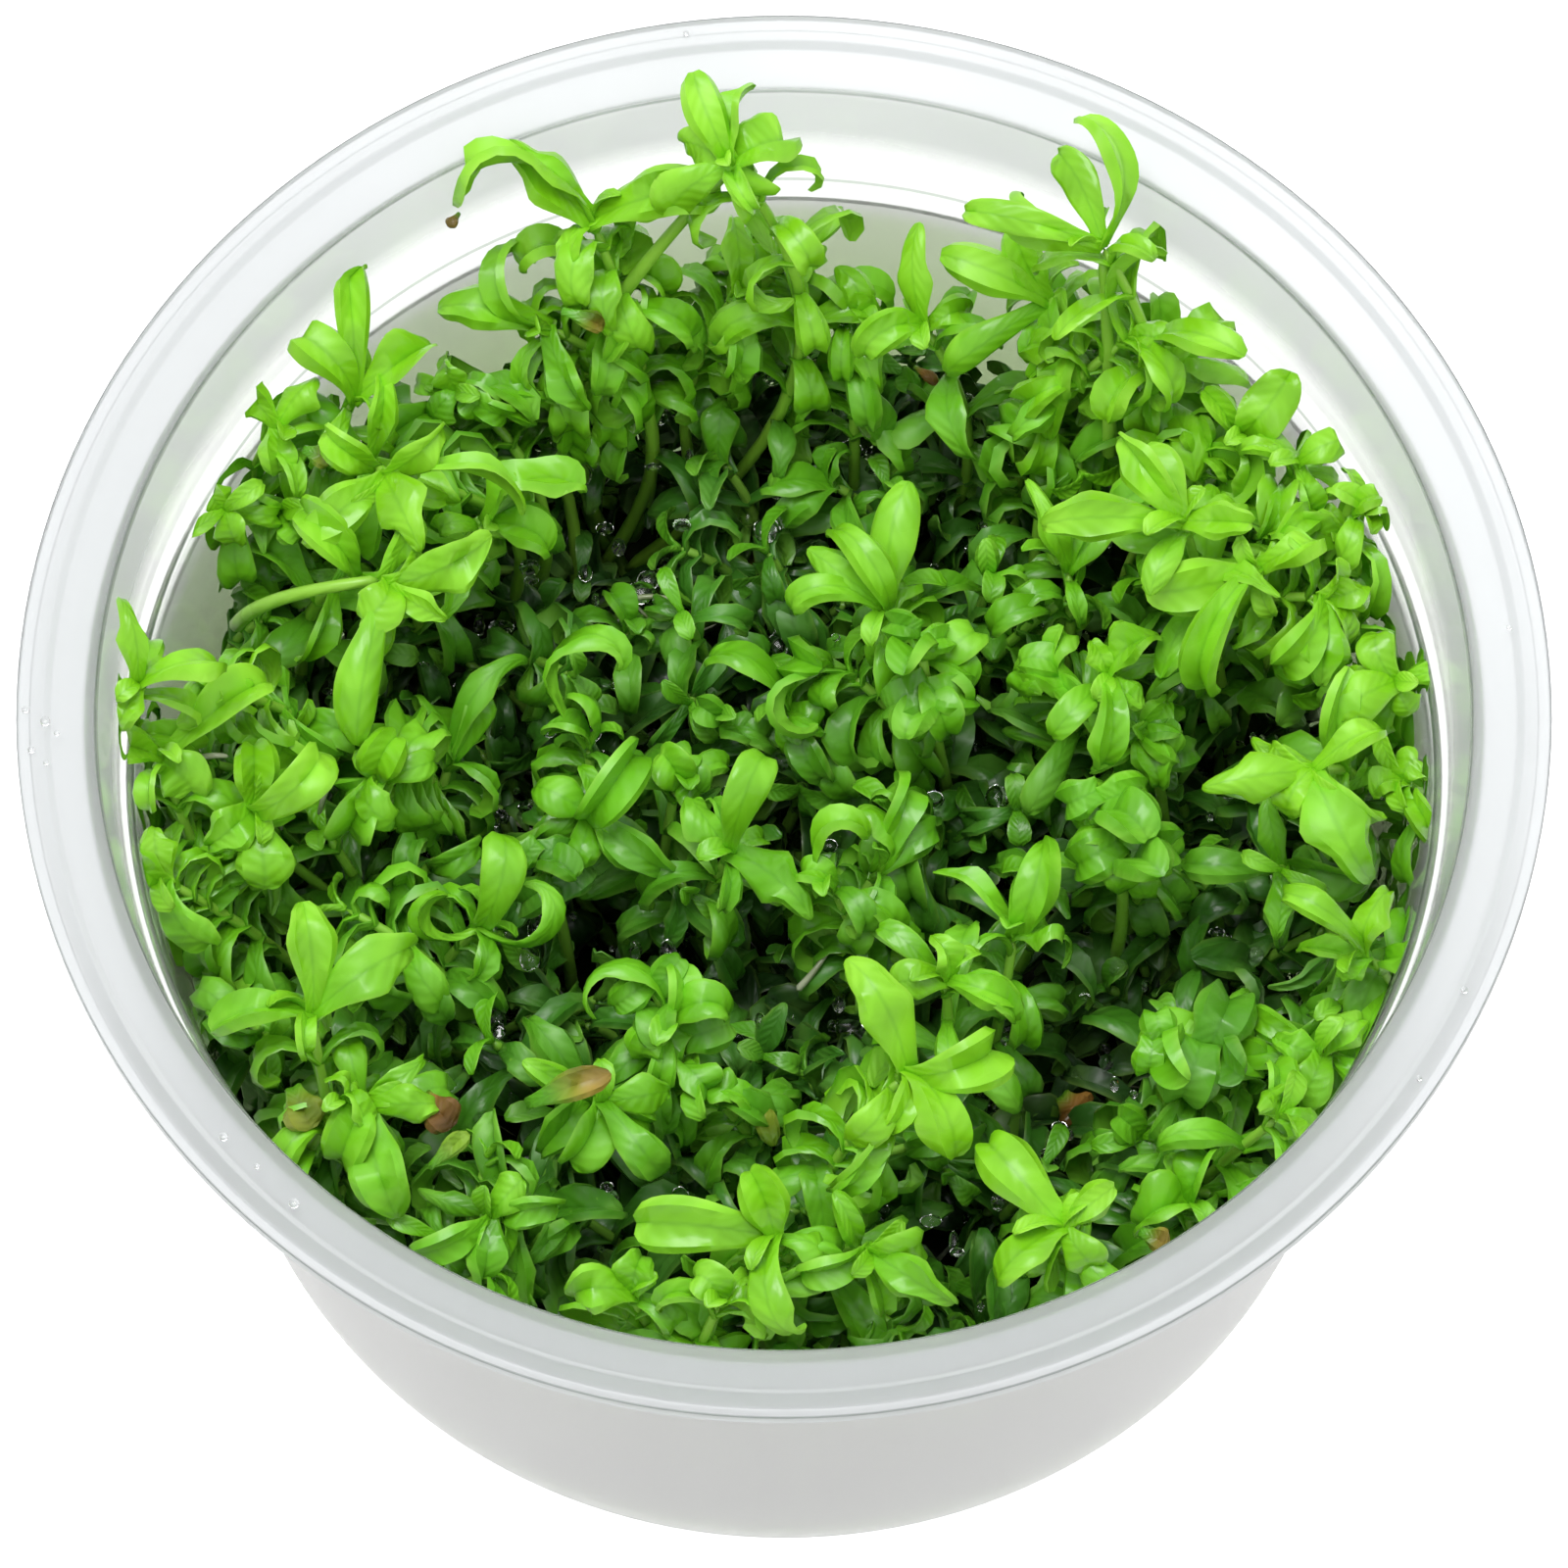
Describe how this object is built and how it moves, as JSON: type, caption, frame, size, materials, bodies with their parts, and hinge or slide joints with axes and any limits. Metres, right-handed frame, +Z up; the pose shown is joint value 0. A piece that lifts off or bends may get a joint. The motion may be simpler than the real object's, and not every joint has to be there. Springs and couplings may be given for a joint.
{
  "type": "pearlweed aquarium plant",
  "caption": "Clear plastic tissue-culture cup with a flanged rim and a wrap-round label, holding a dense stand of bright green pearlweed rooted in dark nutrient gel.",
  "frame": {"origin": "centre of the cup's flat base, on the surface that it stands on", "axes": "+Z up out of the cup's mouth; -Y towards the side that the picture is taken from; +X to the right in the picture"},
  "size_m": [0.101, 0.101, 0.0612],
  "materials": {
    "clear_plastic": "clear moulded polypropylene, glossy with a slight haze",
    "label_film": "satin light grey label film",
    "gel": "wet dark green-black nutrient gel with a soft gloss",
    "leaf": "fresh wet leaf, bright yellow-green with a soft gloss"
  },
  "bodies": {
    "root": {"cup": "clear_plastic", "label": "label_film", "nutrient_gel": "gel", "shoot_01": "leaf", "shoot_02": "leaf", "shoot_03": "leaf", "shoot_04": "leaf", "shoot_05": "leaf", "shoot_06": "leaf", "shoot_07": "leaf", "shoot_08": "leaf", "shoot_09": "leaf", "shoot_10": "leaf", "shoot_11": "leaf", "shoot_12": "leaf", "shoot_13": "leaf", "shoot_14": "leaf", "shoot_15": "leaf", "shoot_16": "leaf", "shoot_17": "leaf", "shoot_18": "leaf", "shoot_19": "leaf", "shoot_20": "leaf", "shoot_21": "leaf", "shoot_22": "leaf", "shoot_23": "leaf", "shoot_24": "leaf", "shoot_25": "leaf", "shoot_26": "leaf", "shoot_27": "leaf", "shoot_28": "leaf", "shoot_29": "leaf", "shoot_30": "leaf", "shoot_31": "leaf", "shoot_32": "leaf", "shoot_33": "leaf", "shoot_34": "leaf", "shoot_35": "leaf", "shoot_36": "leaf", "shoot_37": "leaf", "shoot_38": "leaf", "shoot_39": "leaf", "shoot_40": "leaf", "shoot_41": "leaf", "shoot_42": "leaf", "shoot_43": "leaf", "shoot_44": "leaf", "shoot_45": "leaf", "shoot_46": "leaf", "shoot_47": "leaf", "shoot_48": "leaf", "shoot_49": "leaf", "shoot_50": "leaf", "shoot_51": "leaf", "shoot_52": "leaf", "shoot_53": "leaf", "shoot_54": "leaf", "shoot_55": "leaf", "shoot_56": "leaf"}
  },
  "joints": []
}
